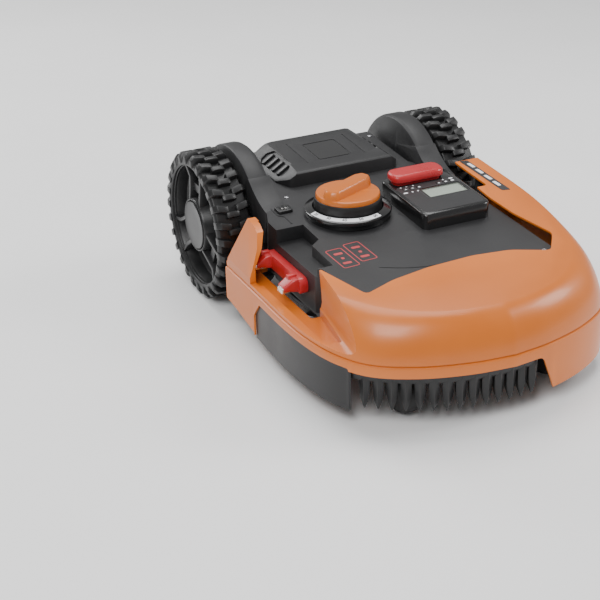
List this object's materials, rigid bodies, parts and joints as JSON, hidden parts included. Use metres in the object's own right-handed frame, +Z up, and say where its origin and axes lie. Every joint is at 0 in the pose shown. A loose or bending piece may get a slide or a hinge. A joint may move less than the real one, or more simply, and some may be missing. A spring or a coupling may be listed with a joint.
{
  "type": "robotic lawn mower",
  "caption": "Robotic lawn mower with a floating shell, two driven rear wheels, front casters, control pod, height knob and a disc cutter with swinging blades.",
  "frame": {"origin": "on the ground, under the centre of the overall box", "axes": "+Z up, -Y is the forward driving direction, +X is the mower's left side"},
  "size_m": [0.48, 0.7145, 0.246],
  "materials": {
    "orange_plastic": "satin moulded plastic",
    "black_plastic": "fine matte grain",
    "deck_plastic": "fine matte grain",
    "gloss_black": "glossy",
    "red_plastic": "satin",
    "wheel_plastic": "hard moulded plastic",
    "tread": "hard rubber tread",
    "caster_rubber": "smooth rubber",
    "contact_metal": "bright plated metal",
    "steel": "turned steel",
    "motor_metal": "drawn can",
    "display_glass": "clear window",
    "display_body": "grey-green liquid crystal",
    "key_cap": "soft-touch",
    "scale_print": "white print",
    "circuit_board": "solder resist",
    "battery_case": "moulded",
    "mount_rubber": "soft rubber"
  },
  "bodies": {
    "root": {"upper_deck": "deck_plastic", "chassis_pan": "black_plastic", "rear_housing": "deck_plastic", "control_pod": "gloss_black", "display_window": "display_glass", "display_module": "display_body", "dial_flange": "gloss_black", "dial_scale": "scale_print", "rain_sensor": "black_plastic", "rain_sensor_pins": "contact_metal", "contact_block": "red_plastic", "contact_tips": "contact_metal", "main_board": "circuit_board", "battery_pack": "battery_case", "battery_door": "black_plastic", "battery_door_screws": "steel", "shell_mounts": "mount_rubber", "left_gearmotor": "motor_metal", "right_gearmotor": "motor_metal", "left_wheel_arch": "black_plastic", "right_wheel_arch": "black_plastic"},
    "shell": {"top_shell": "orange_plastic", "edge_flap": "black_plastic", "front_comb": "black_plastic"},
    "height_knob": {"height_knob": "orange_plastic", "knob_collar": "black_plastic", "height_spindle": "steel"},
    "cutter_carriage": {"motor_cradle": "black_plastic", "cutter_motor": "motor_metal"},
    "cutting_disc": {"blade_disc": "wheel_plastic", "motor_shaft": "steel", "blade_screws": "steel", "skid_plate": "black_plastic"},
    "blade_a": {"blade_a": "steel"},
    "blade_b": {"blade_b": "steel"},
    "blade_c": {"blade_c": "steel"},
    "stop_button": {"stop_button": "red_plastic"},
    "key_up": {"key_up": "key_cap"},
    "key_down": {"key_down": "key_cap"},
    "key_ok": {"key_ok": "key_cap"},
    "key_start": {"key_start": "key_cap"},
    "key_home": {"key_home": "key_cap"},
    "key_power": {"key_power": "key_cap"},
    "left_wheel": {"left_tyre": "tread", "left_rim": "wheel_plastic", "left_hub_cap": "wheel_plastic", "left_axle": "steel"},
    "left_caster": {"left_caster_fork": "black_plastic", "left_caster_pin": "steel"},
    "left_caster_wheel": {"left_caster_wheel": "caster_rubber"},
    "right_wheel": {"right_tyre": "tread", "right_rim": "wheel_plastic", "right_hub_cap": "wheel_plastic", "right_axle": "steel"},
    "right_caster": {"right_caster_fork": "black_plastic", "right_caster_pin": "steel"},
    "right_caster_wheel": {"right_caster_wheel": "caster_rubber"}
  },
  "joints": [
    {"name": "left_wheel_spin", "type": "hinge", "parent": "root", "child": "left_wheel", "pos_m": [0.2, 0.235, 0.122], "axis": [1, 0, 0], "continuous": true},
    {"name": "left_caster_swivel", "type": "hinge", "parent": "root", "child": "left_caster", "pos_m": [0.12, -0.242, 0.09], "axis": [0, 0, 1], "continuous": true},
    {"name": "left_caster_roll", "type": "hinge", "parent": "left_caster", "child": "left_caster_wheel", "pos_m": [0.12, -0.258, 0.032], "axis": [1, 0, 0], "continuous": true},
    {"name": "right_wheel_spin", "type": "hinge", "parent": "root", "child": "right_wheel", "pos_m": [-0.2, 0.235, 0.122], "axis": [1, 0, 0], "continuous": true},
    {"name": "right_caster_swivel", "type": "hinge", "parent": "root", "child": "right_caster", "pos_m": [-0.12, -0.242, 0.09], "axis": [0, 0, 1], "continuous": true},
    {"name": "right_caster_roll", "type": "hinge", "parent": "right_caster", "child": "right_caster_wheel", "pos_m": [-0.12, -0.258, 0.032], "axis": [1, 0, 0], "continuous": true},
    {"name": "shell_float", "type": "slide", "parent": "root", "child": "shell", "axis": [0, 1, 0], "range_m": [-0.005, 0.005], "stiffness_N_per_m": 2500},
    {"name": "height_knob_turn", "type": "hinge", "parent": "root", "child": "height_knob", "pos_m": [-0.056, 0.036, 0.2], "axis": [0, 0, 1], "range_deg": [-202.5, 67.5]},
    {"name": "cutter_height", "type": "slide", "parent": "root", "child": "cutter_carriage", "axis": [0, 0, 1], "range_m": [-0.03, 0.01]},
    {"name": "disc_spin", "type": "hinge", "parent": "cutter_carriage", "child": "cutting_disc", "pos_m": [-0.056, 0.036, 0.056], "axis": [0, 0, 1], "continuous": true},
    {"name": "blade_a_pivot", "type": "hinge", "parent": "cutting_disc", "child": "blade_a", "pos_m": [-0.056, 0.12, 0.05], "axis": [0, 0, 1], "continuous": true},
    {"name": "blade_b_pivot", "type": "hinge", "parent": "cutting_disc", "child": "blade_b", "pos_m": [-0.12875, -0.006, 0.05], "axis": [0, 0, 1], "continuous": true},
    {"name": "blade_c_pivot", "type": "hinge", "parent": "cutting_disc", "child": "blade_c", "pos_m": [0.01675, -0.006, 0.05], "axis": [0, 0, 1], "continuous": true},
    {"name": "stop_press", "type": "slide", "parent": "root", "child": "stop_button", "axis": [0, 0.0624, -0.9981], "range_m": [0, 0.004], "stiffness_N_per_m": 1500, "springref_m": -0.002},
    {"name": "key_up_press", "type": "slide", "parent": "root", "child": "key_up", "axis": [0, 0.0624, -0.9981], "range_m": [0, 0.0008], "stiffness_N_per_m": 800, "springref_m": -0.001},
    {"name": "key_down_press", "type": "slide", "parent": "root", "child": "key_down", "axis": [0, 0.0624, -0.9981], "range_m": [0, 0.0008], "stiffness_N_per_m": 800, "springref_m": -0.001},
    {"name": "key_ok_press", "type": "slide", "parent": "root", "child": "key_ok", "axis": [0, 0.0624, -0.9981], "range_m": [0, 0.0008], "stiffness_N_per_m": 800, "springref_m": -0.001},
    {"name": "key_start_press", "type": "slide", "parent": "root", "child": "key_start", "axis": [0, 0.0624, -0.9981], "range_m": [0, 0.0008], "stiffness_N_per_m": 800, "springref_m": -0.001},
    {"name": "key_home_press", "type": "slide", "parent": "root", "child": "key_home", "axis": [0, 0.0624, -0.9981], "range_m": [0, 0.0008], "stiffness_N_per_m": 800, "springref_m": -0.001},
    {"name": "key_power_press", "type": "slide", "parent": "root", "child": "key_power", "axis": [0, 0.0624, -0.9981], "range_m": [0, 0.0008], "stiffness_N_per_m": 800, "springref_m": -0.001}
  ],
  "couplings": [
    {"joint": "cutter_height", "follows": "height_knob_turn", "m_per_rad": 0.008488}
  ]
}
